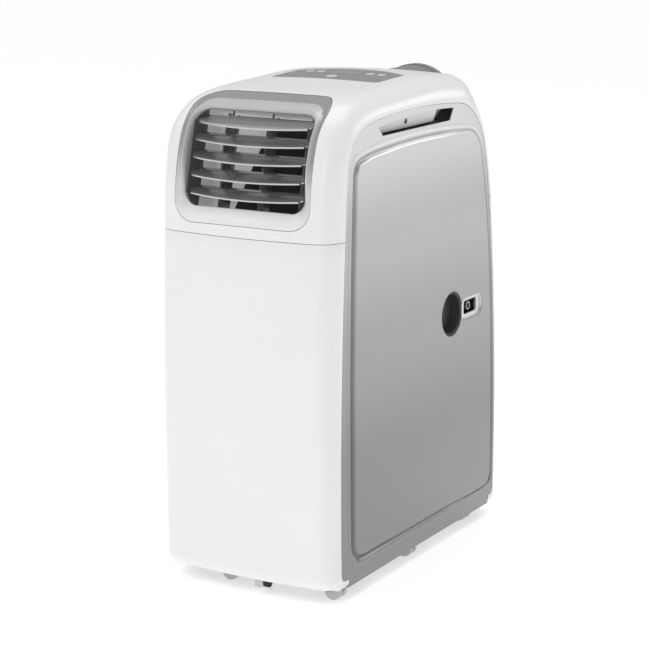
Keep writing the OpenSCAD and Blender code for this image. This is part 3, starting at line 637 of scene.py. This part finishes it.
def skin_row(y, z, heading):
    """One row of skin points across the body at a point of the side outline."""
    point = np.array([y, z])
    origin = TOP_ORIGIN if z > SPINE[1] else np.array([0.0, z])
    out = (point - origin) / np.linalg.norm(point - origin)
    edge = origin + out * reach(open_panel_edge, origin, out)
    radius = np.interp(heading, EDGE_HEADINGS, EDGE_RADII)
    bow = np.interp(heading, EDGE_HEADINGS, FACE_BOWS)
    flat = HALF_W - radius
    tilts = np.radians(np.linspace(90, 0, CORNER_STEPS + 1))[:-1]
    stops = [(-flat - radius * math.sin(t), t) for t in tilts]
    stops += [(-flat + 2 * flat * k / FLAT_STEPS, 0.0) for k in range(FLAT_STEPS + 1)]
    stops += [(flat + radius * math.sin(t), t) for t in reversed(tilts)]
    row = []
    for x, tilt in stops:
        tuck = foot_tuck(z, foot_radius(heading, tilt))
        drop = bow * (x / HALF_W) ** 2 + radius * (1 - math.cos(tilt))
        yz = point + (edge - point) * drop / (bow + radius) - out * tuck * math.cos(tilt)
        row.append((x - math.copysign(tuck * math.sin(tilt), x), yz[0], yz[1]))
    return row


def profile_at(z, front):
    """(y, z, heading) of the side outline at a height, on its front or rear stretch."""
    peak = int(np.argmax(BODY_RUN[:, 1]))
    part = BODY_RUN[: peak + 1] if front else BODY_RUN[peak:][::-1]
    return np.interp(z, part[:, 1], part[:, 0]), z, np.interp(z, part[:, 1], part[:, 2])


def low_heights():
    """Heights of the rows below the seam: close in the rounding and beside the feet, then even."""
    heights = [BODY_LOW + SIDE_ROUND * (1 - math.cos(math.radians(a))) for a in range(0, 91, 15)]
    heights += [FOOT_TOP, 37, 40, 43, FOOT_TOP + FOOT_R]
    return heights + list(np.arange(60, SEAM_Z - 10, 12.0)) + [SEAM_Z - SEAM_GAP / 2]


def foot_patches(front, side):
    """Two grids for the white foot that wraps under a side panel's lower corner: the flat and the fillet."""
    inwards = 1 if front else -1
    edge = PANEL_RUN[0][0] if front else PANEL_RUN[-1][0]
    end = FOOT_FRONT if front else FOOT_REAR
    flat, fillet = [], []
    for z in low_heights():
        if z <= FOOT_TOP + 1e-6:
            x = side * (HALF_W - foot_tuck(z, SIDE_ROUND))
            flat.append([(x, y, z) for y in np.linspace(edge, end, 7)])
        if FOOT_TOP - 1e-6 <= z <= FOOT_TOP + FOOT_R + 1e-6:
            rise = FOOT_TOP + FOOT_R - z
            width = FOOT_R - math.sqrt(max(0.0, FOOT_R**2 - rise**2))
            fillet.append([(side * HALF_W, y, z) for y in np.linspace(edge, edge + inwards * width, 4)])
    return flat, fillet


def sheet(name, patches):
    """One mesh from several grids, each with its facing, welded where they meet."""
    points, faces = [], []
    for rows, flip in patches:
        faces += grid_faces(len(rows), len(rows[0]), first=len(points), flip=flip)
        points += [point for row in rows for point in row]
    obj = build(name, points, faces)
    mend(obj, join=0.05, flat=0.02, outwards=False)
    soften(obj)
    return obj


def cover_patches(front):
    patches = [([skin_row(*profile_at(z, front)) for z in low_heights()], not front)]
    for side in (-1, 1):
        patches += [(grid, (side > 0) != front) for grid in foot_patches(front, side)]
    return patches


top_run = [profile_at(SEAM_Z + SEAM_GAP / 2, True)]
top_run += [tuple(p) for p in BODY_RUN if p[1] > SEAM_Z + 3]
top_run += [profile_at(SEAM_Z + SEAM_GAP / 2, False)]
top_rows = [skin_row(*p) for p in top_run]
top_points = [Vector(p) for row in top_rows for p in row]
SKIN = BVHTree.FromPolygons(top_points, grid_faces(len(top_rows), len(top_rows[0])))


def outlet_point(x, v, depth):
    """A point in space from the outlet's own plane."""
    return (x, OUTLET_AT[1] + depth * LEAN_COS + v * LEAN_SIN, OUTLET_AT[2] - depth * LEAN_SIN + v * LEAN_COS)


def outlet_depth(point):
    return (point[1] - OUTLET_AT[1]) * LEAN_COS - (point[2] - OUTLET_AT[2]) * LEAN_SIN


def skin_depth(x, v):
    """Depth of the skin in front of the outlet's plane, found from well inside the body."""
    inside = 60
    outwards = Vector((0, -LEAN_COS, LEAN_SIN))
    start = Vector(outlet_point(x, v, inside))
    return inside - (SKIN.ray_cast(start, outwards)[0] - start).length


def skin_height(x, y):
    return SKIN.ray_cast(Vector((x, y, SPINE[1])), Vector((0, 0, 1)))[0].z


def make_covers():
    front = sheet("front_cover", cover_patches(True))
    thicken(front, WALL, edge=0.6)
    finish_piece(front, WHITE, stands_for=("front_panel",))

    rear = sheet("rear_cover", cover_patches(False))
    thicken(rear, WALL)
    cutters = []
    for name in ("filter_upper", "filter_lower"):
        low, high = node_box(name)
        outline = rounded(low[0] - GAP, high[0] + GAP, low[2] - GAP, high[2] + GAP, 3, 5, 1)
        cutters.append(prism("cut_" + name, outline, from_behind, 200, 320))
    x, _, z = sum(node_box("cord_gland")) / 2
    cutters.append(prism("cut_gland", corner((x, z), GLAND_HOLE_R, 0, 345, 24), from_behind, 250, 320))
    cut(rear, cutters)
    finish_piece(rear, WHITE, stands_for=("rear_panel",))

    top = sheet("upper_cover", [(top_rows, False)])
    thicken(top, WALL)
    x0, x1, v0, v1, r = RING
    cut(top, [
        prism("cut_outlet", rounded(x0 - GAP, x1 + GAP, v0 - GAP, v1 + GAP, r), outlet_point, -70, 60),
        prism("cut_fascia", fascia_outline(GAP / 2), from_above, 700, 800),
        prism("cut_collar", corner((0, COLLAR_Z), COLLAR_R + 0.8, 0, 357, 120), from_behind, 170, 320),
    ])
    finish_piece(top, WHITE, stands_for=("top_cover",))


# ---- Outlet ----
# Section of the surround from its outer edge (share 0) to the opening (1), with its height above the skin
SECTION = (
    (0.0, -0.5), (0.03, 0.1), (0.1, -0.3), (0.2, -1.2), (0.3, -2.2), (0.38, -2.8), (0.44, -2.6), (0.5, -1.6),
    (0.56, -0.2), (0.64, 1.2), (0.72, 1.6), (0.8, 0.9), (0.87, -0.8), (0.93, -3.0), (0.97, -5.5), (1.0, -8.5))
BAND_END = 7
FLARE_DEPTH = 10.0


def surround_row(outer, inner, share, roll):
    """Ring of points around the opening: the rolled section fades to a smooth flare below it."""
    row = []
    for (x0, v0), (x1, v1) in zip(outer, inner):
        down = max(0.0, min(1.0, (-v1 - 5) / 60))
        down = down * down * (3 - 2 * down)
        x, v = x0 + (x1 - x0) * share, v0 + (v1 - v0) * share
        proud = roll * (1 - down) - FLARE_DEPTH * share**1.7 * down
        row.append(outlet_point(x, v, skin_depth(x, v) - proud))
    return row


def make_surround():
    """Outer band, then a rounded lip and its return into the duct, all one paint: the band is painted darker
    towards the top and the return darker all over, as painted shade.
    """
    outer, inner = rounded(*RING), rounded(*OPENING)
    rows = [[outlet_point(x, v, skin_depth(x, v) + 5.0) for x, v in outer]]
    rows += [surround_row(outer, inner, share, roll) for share, roll in SECTION]
    depths = [outlet_depth(point) for point in rows[-1]]
    ends = [max(8.0, depth + 2.0) for depth in depths]
    for share in (0.5, 1.0):
        rows.append([outlet_point(x, v, depth + (end - depth) * share)
                     for (x, v), depth, end in zip(inner, depths, ends)])
    for name, part, look, stands_for in (("outlet_band", rows[: BAND_END + 1], BAND, ("outlet_bezel",)),
                                         ("outlet_lip", rows[BAND_END:-3], LIP, ()),
                                         ("outlet_return", rows[-4:], RETURN, ())):
        points = [point for row in part for point in row]
        piece = build(name, points, grid_faces(len(part), len(outer), closed=True), 50)
        thicken(piece, 1.6, angle=50)
        finish_piece(piece, look, stands_for=stands_for)


def make_throat():
    # Painted shade: a black plate stands in for the shade deep in the blower's throat.
    plate = prism("throat_shade_plate", THROAT, outlet_point, *THROAT_DEPTH)
    round_edges(plate, 0.8)
    finish_piece(plate, BLACK)


# ---- Side panels ----
PANEL_PLANE = HALF_W - 0.8
PANEL_WALL = 2.4
SIDE_CUT = (HALF_W - 12, HALF_W + 5)
# Section of the pressed channel: (place across it from outside to inside, height)
CHANNEL_HALF = 17
CHANNEL_SECTION = (
    (-17, 0), (-15.5, -0.2), (-14, -0.2), (-12.5, 0.05), (-11, 0.3), (-9.5, 0.5), (-8, 0.55), (-6, 0.35),
    (-4, -0.15), (-2, -1.0), (0, -2.0), (2, -2.9), (4, -3.3), (6, -3.1), (8, -2.3), (10, -1.3), (12, -0.5),
    (13.5, -0.15), (15, 0))
PANEL_EDGE = ((0.0, -4.0), (0.0, -0.9), (0.35, -0.3), (1.0, 0.0))
INNER_SHARES = (0.97, 0.85, 0.65, 0.4, 0.15, 0.0)
CROWN = 0.25


def channel_width(zone, angle):
    """Width factor of the channel: widest at the front, narrow at the rear."""
    if zone == "upper":
        return np.interp(angle, (0, 22, 45, 140, 165, 180), (0.4, 0.45, 0.8, 0.8, 0.95, 1.0))
    if zone == "lower":
        return np.interp(angle, (180, 200, 215, 330, 345, 360), (1.0, 0.9, 0.5, 0.5, 0.42, 0.4))
    return 1.0 if zone == "front" else 0.4


def panel_rays():
    """Rays (zone, angle, origin) all round a side panel, from its spine to its edge."""
    low, high = SPINE
    rays = [("upper", a, (0.0, high)) for a in np.linspace(0, 180, 181)]
    rays += [("front", 180.0, (0.0, z)) for z in np.linspace(high, low, 42)[1:]]
    notches = ((FOOT_FRONT, FOOT_TOP), (FOOT_FRONT, BODY_LOW), (FOOT_REAR, BODY_LOW), (FOOT_REAR, FOOT_TOP))
    corners = [math.degrees(math.atan2(z - low, y)) % 360 for y, z in notches]
    corners += [angle + d for angle in corners for d in (-0.08, 0.08)]
    angles = sorted(set(list(np.linspace(180, 360, 121)[1:]) + corners))
    rays += [("lower", a, (0.0, low)) for a in angles]
    rays += [("rear", 0.0, (0.0, z)) for z in np.linspace(low, high, 42)[1:-1]]
    return rays


def panel_ray_points(zone, angle, origin, edge_path, channel_path):
    """(y, z, height) of the panel's surface along one ray, from its edge over the channel to the spine."""
    origin = np.array(origin)
    direction = np.array([math.cos(math.radians(angle)), math.sin(math.radians(angle))])
    edge = reach(edge_path, origin, direction) - GAP
    middle = reach(channel_path, origin, direction)
    ahead = direction + np.array([-direction[1], direction[0]]) * 0.004
    step = ahead * reach(channel_path, origin, ahead) - direction * middle
    slant = abs(step @ direction) / np.linalg.norm(step)
    share = channel_width(zone, angle)
    width = share * min(1.8, 1 / math.sqrt(max(0.05, 1 - slant**2)))
    line = [(edge - back, h) for back, h in PANEL_EDGE]
    line.append(((edge - 1.0 + min(middle + CHANNEL_HALF * width, edge - 1.4)) / 2, 0.0))
    for u, h in CHANNEL_SECTION:
        limit = edge - 1.2 - 0.02 * (u + CHANNEL_HALF)
        line.append((min(middle - u * width, limit), h * (0.35 + 0.65 * share)))
    inner = middle - CHANNEL_SECTION[-1][0] * width
    line += [(inner * k, CROWN * (1 - k**2)) for k in INNER_SHARES]
    return [(*(origin + direction * r), h) for r, h in line]


def make_panel(side, name, node_name):
    edge_path, channel_path = panel_outline(), channel_outline()
    rows = [panel_ray_points(*ray, edge_path, channel_path) for ray in panel_rays()]
    points = [(side * (PANEL_PLANE + h), y, z) for row in rows for y, z, h in row]
    faces = grid_faces(len(rows) + 1, len(rows[0]), flip=side > 0)
    faces = [tuple(k % len(points) for k in face) for face in faces]
    panel = build(name, points, faces)
    mend(panel, join=0.01, flat=0.005)
    if panel.data.polygons[len(panel.data.polygons) // 2].normal.x * side < 0:
        panel.data.flip_normals()
    thicken(panel, PANEL_WALL)
    place = from_side(side)
    cutters = [prism("cut_slot", slot_outline(), place, *SIDE_CUT)]
    if side > 0:
        y, z, r = PORT
        cutters.append(prism("cut_port", corner((y, z), r + 0.3, 0, 357, 96), place, *SIDE_CUT))
        cutters.append(prism("cut_pocket", rounded(*POCKET, 8, 2), place, *SIDE_CUT))
    cut(panel, cutters, 30)
    even_normals(panel)
    finish_piece(panel, SILVER, stands_for=(node_name,))


# ---- Carrying slots ----
def make_grip(side, name):
    """The lining seen inside a slot, a light ramp that turns in to a deep dark end, and a black plug painted
    as the shade in its screw hole.
    """
    arch = slot_outline()[:SLOT_POINTS]
    rows = []
    for share in (0.0, 0.08, 0.25, 0.45, 0.65, 0.8, 0.9, 1.0):
        row = []
        for y, z in arch:
            dive = float(np.interp(y, (54, 63), (0, 1)))
            dive = dive * dive * (3 - 2 * dive)
            depth = 3.4 + 6.5 * share**0.9 + 18 * dive
            row.append((side * (HALF_W - depth), y, z - 0.2 - (z - SLOT_FLOOR - 1.4) * share))
        rows.append(row)
    points = [point for row in rows for point in row]
    ramp = build(name, points, grid_faces(len(rows), SLOT_POINTS, flip=side > 0))
    thicken(ramp, 0.8)
    finish_piece(ramp, PALE)
    y, z, half_y, half_z = SLOT_SCREW
    turns = np.linspace(0, 2 * math.pi, 25)[:-1]
    hole = [(y + half_y * math.cos(a), z + half_z * math.sin(a)) for a in turns]
    # Painted shade: a black plug fills the screw hole, where there is only shade.
    plug = prism(name + "_screw_hole_shade_plug", hole, from_side(side), HALF_W - 9, HALF_W - 4.4)
    round_edges(plug, 0.3)
    finish_piece(plug, RUBBER)


# ---- Round recess and drain pocket ----
# Section of the recess rim: (inset from its radius, depth below the side)
RIM_SECTION = ((-0.1, 6), (-0.1, 1.4), (0.5, 0.9), (3.0, 3.6), (3.4, 5), (3.6, 18), (2.4, 18.6), (1.4, 18))
RIM_STEPS = 96


def make_port():
    y, z, r = PORT
    points = []
    for inset, depth in RIM_SECTION:
        for k in range(RIM_STEPS):
            a = 2 * math.pi * k / RIM_STEPS
            points.append((HALF_W - depth, y + (r - inset) * math.cos(a), z + (r - inset) * math.sin(a)))
    faces = grid_faces(len(RIM_SECTION) + 1, RIM_STEPS, closed=True)
    rim = build("port_rim", points, [tuple(k % len(points) for k in face) for face in faces])
    mend(rim)
    finish_piece(rim, DARK)


def make_pocket():
    """Lining between the pocket's outline and the window at its bottom."""
    outline, window = rounded(*POCKET, 8, 2), rounded(*WINDOW, 8, 2)
    y0, y1, z0, z1, _ = POCKET
    floor = outline + (np.array([(y0 + y1) / 2, (z0 + z1) / 2]) - outline) * np.array([0.06, 0.12])
    rows = []
    for path, depth in ((outline, 4.0), (outline, 1.6), (floor, 3.8), (window, 3.8), (window, 7.6)):
        rows.append([(HALF_W - depth, y, z) for y, z in path])
    points = [point for row in rows for point in row]
    dish = build("drain_pocket_lining", points, grid_faces(len(rows), len(outline), closed=True))
    thicken(dish, 0.8)
    finish_piece(dish, SATIN)


# ---- Control panel ----
# From the rim inwards: (share of the outline, depth below the skin)
FASCIA_RINGS = ((1.0, 3.0), (1.0, 0.9), (0.993, 0.35), (0.98, 0.25), (0.85, 0.25), (0.7, 0.25), (0.5, 0.25),
                (0.3, 0.25), (0.12, 0.25))
LENS_RINGS = ((1.0, 2.4), (1.0, 0.6), (0.985, 0.2), (0.6, 0.15), (0.1, 0.15))
CAP_CUT = (740, 780)


def crowned_plate(name, outline, centre, rings, thickness):
    """A plate that follows the skin of the top."""
    rows = [[(*(centre + (p - centre) * share), drop) for p in outline] for share, drop in rings]
    points = [(x, y, skin_height(x, y) - drop) for row in rows for x, y, drop in row]
    faces = grid_faces(len(rows), len(outline), closed=True)
    first = (len(rows) - 1) * len(outline)
    faces.append(tuple(first + k for k in range(len(outline))))
    plate = build(name, points, faces)
    thicken(plate, thickness)
    return plate


def make_fascia():
    centre = np.array([0.0, (FASCIA_Y[0] + FASCIA_Y[1] + FASCIA_BOW) / 2])
    panel = crowned_plate("control_panel", fascia_outline(), centre, FASCIA_RINGS, 2.6)
    cutters = []
    for name in BUTTONS:
        low, high = node_box(name)
        radius = (high[0] - low[0]) / 2 - BUTTON_RIM + GAP / 2
        ring = corner((low + high)[:2] / 2, radius, 0, 352.5, 48)
        cutters.append(prism("cut_" + name, ring, from_above, *CAP_CUT))
    cutters.append(prism("cut_lens", rounded(*LENS, 6, 2), from_above, *CAP_CUT))
    cut(panel, cutters)
    finish_piece(panel, FASCIA, stands_for=("control_fascia",))
    x0, x1, y0, y1, r = LENS
    outline = rounded(x0 + 0.3, x1 - 0.3, y0 + 0.3, y1 - 0.3, r - 0.2, 6, 6)
    lens = crowned_plate("display_window", outline, np.array([0.0, (y0 + y1) / 2]), LENS_RINGS, 1.0)
    finish_piece(lens, LENS_BLACK, stands_for=("display_lens",))


def make_buttons():
    """Button caps, each with its crown lowered to just above the skin."""
    for name in BUTTONS:
        cap = refined(name, name + "_cap", 0.9, 3)
        crown = max(v.co.z for v in cap.data.vertices)
        for v in cap.data.vertices:
            if v.co.z > crown - 4 * MM:
                v.co.z += (skin_height(v.co.x / MM, v.co.y / MM) + 0.5) * MM - crown
        finish_piece(cap, PALE, name, (name,))


# ---- Pieces that keep their CAD shape, with rounded edges ----
def refine_node(node_name, name, width, segments, look, body=None):
    finish_piece(refined(node_name, name, width, segments), look, body or node_name, (node_name,))


def make_refined_pieces():
    for k in range(1, 6):
        refine_node(f"louvre_{k}", f"louvre_blade_{k}", 0.8, 3, LOUVRE)
    for k in range(1, 4):
        refine_node(f"vane_{k}", f"vane_blade_{k}", 0.6, 2, VANE)
    for name in ("filter_upper", "filter_lower"):
        refine_node(name, name + "_grille", 0.7, 2, WHITE)
    refine_node("exhaust_collar", "exhaust_hose_collar", 1.2, 3, GREY, ROOT)
    for place in ("front_right", "front_left", "middle", "rear_right", "rear_left"):
        refine_node(f"castor_{place}", f"castor_fork_{place}", 0.5, 2, FORK)
        refine_node(f"castor_wheel_{place}", f"castor_tread_{place}", 1.4, 3, WHEEL)


# ---- Floor, light and camera ----
FLOOR_HALF = 40000
CAMERA_AT = (1.558, -2.7327, 1.072)
CAMERA_DOWN, CAMERA_TURN = 12.7, 30
LENS_MM = 112.486
WORLD_BRIGHT = (-0.45, -0.55, 0.7)
# name, place, target, width, height (m), power (W)
LIGHTS = (("key_softbox", (-1.8, -2.4, 2.4), (0, 0, 0.4), 1.6, 1.6, 6),
          ("top_softbox", (0.3, 0.3, 3.0), (0, 0, 0.5), 2.0, 2.0, 24),
          ("face_softbox", (1.1, -2.6, 1.3), (0, -0.2, 0.62), 0.5, 0.5, 4),
          ("back_softbox", (2.3, 3.0, 1.5), (0, 0, 0.6), 2.4, 1.0, 20))


def make_floor():
    s = FLOOR_HALF
    floor = build("studio_floor", [(-s, -s, 0), (s, -s, 0), (s, s, 0), (-s, s, 0)], [(0, 1, 2, 3)])
    white = material("studio_white", (0.88, 0.88, 0.88), 0.8, spread=0.0, specular=0.1)
    glow(white, 0.42)
    floor.data.materials.append(white)


def make_world():
    """Soft white surroundings, brightest towards the upper front left."""
    world = bpy.data.worlds.new("studio_world")
    bpy.context.scene.world = world
    world.use_nodes = True
    link = world.node_tree.links.new
    background = world.node_tree.nodes["Background"]
    background.inputs["Color"].default_value = (1, 1, 1, 1)
    coords = add_node(world, "TexCoord")
    facing = add_node(world, "VectorMath", ((1, Vector(WORLD_BRIGHT).normalized()),), operation="DOT_PRODUCT")
    link(coords.outputs["Generated"], facing.inputs[0])
    spread = add_node(world, "MapRange", (("From Min", -0.7), ("From Max", 0.9),
                                          ("To Min", 0.25), ("To Max", 0.8)))
    link(facing.outputs["Value"], spread.inputs["Value"])
    link(spread.outputs["Result"], background.inputs["Strength"])


def make_lights():
    for name, place, target, width, height, power in LIGHTS:
        data = bpy.data.lights.new(name, "AREA")
        data.shape = "RECTANGLE"
        data.size = width
        data.size_y = height
        data.energy = power
        light = add_object(name, data)
        light.location = place
        light.rotation_euler = (Vector(target) - Vector(place)).to_track_quat("-Z", "Y").to_euler()


def make_camera():
    data = bpy.data.cameras.new("studio_camera")
    data.sensor_width = 36
    data.lens = LENS_MM
    camera = add_object("studio_camera", data)
    camera.location = CAMERA_AT
    camera.rotation_euler = (math.radians(90 - CAMERA_DOWN), 0, math.radians(CAMERA_TURN))
    bpy.context.scene.camera = camera


dress_nodes()
make_covers()
make_surround()
make_throat()
make_panel(1, "side_cover_right", "side_panel_right")
make_panel(-1, "side_cover_left", "side_panel_left")
make_grip(1, "grip_lining_right")
make_grip(-1, "grip_lining_left")
make_port()
make_pocket()
make_fascia()
make_buttons()
make_refined_pieces()
make_floor()
make_world()
make_lights()
make_camera()
bpy.context.scene.view_settings.view_transform = "Standard"

bpy.context.view_layer.update()
